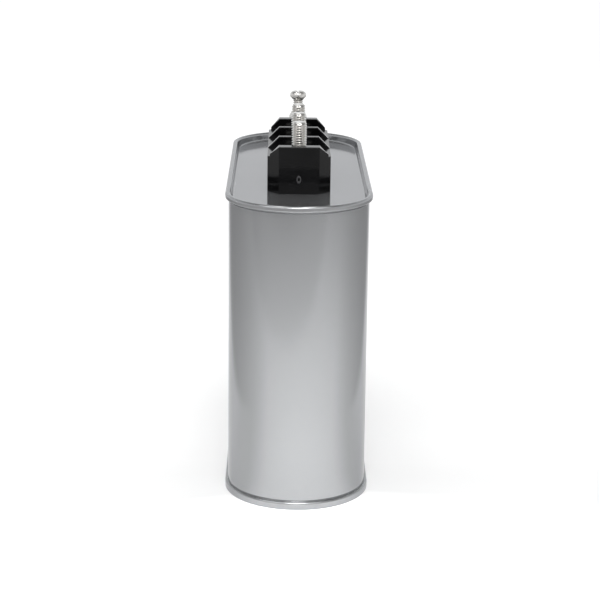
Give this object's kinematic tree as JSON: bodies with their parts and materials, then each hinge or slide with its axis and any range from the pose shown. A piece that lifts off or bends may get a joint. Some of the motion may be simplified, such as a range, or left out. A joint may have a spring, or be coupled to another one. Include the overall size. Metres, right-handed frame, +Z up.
{
  "type": "power factor correction capacitor",
  "caption": "Sealed obround metal can with double-seamed ends, a black barrier terminal block with threaded studs and an earth screw on top; corrects power factor.",
  "frame": {"origin": "middle of the can's base, on the surface that it stands on", "axes": "+Z up, +Y along the can's length from the terminal block's end towards the earth screw's, +X across"},
  "size_m": [0.0734, 0.2144, 0.1862],
  "materials": {
    "can_paint": "glossy silver paint",
    "block_plastic": "moulded gloss",
    "plated_steel": "nickel plated"
  },
  "bodies": {
    "root": {"sealed_can": "can_paint", "terminal_block": "block_plastic", "terminal_stud_1": "plated_steel", "terminal_stud_2": "plated_steel", "terminal_stud_3": "plated_steel", "stud_lock_nuts": "plated_steel", "earth_pillar": "plated_steel", "earth_screw": "plated_steel"}
  },
  "joints": []
}
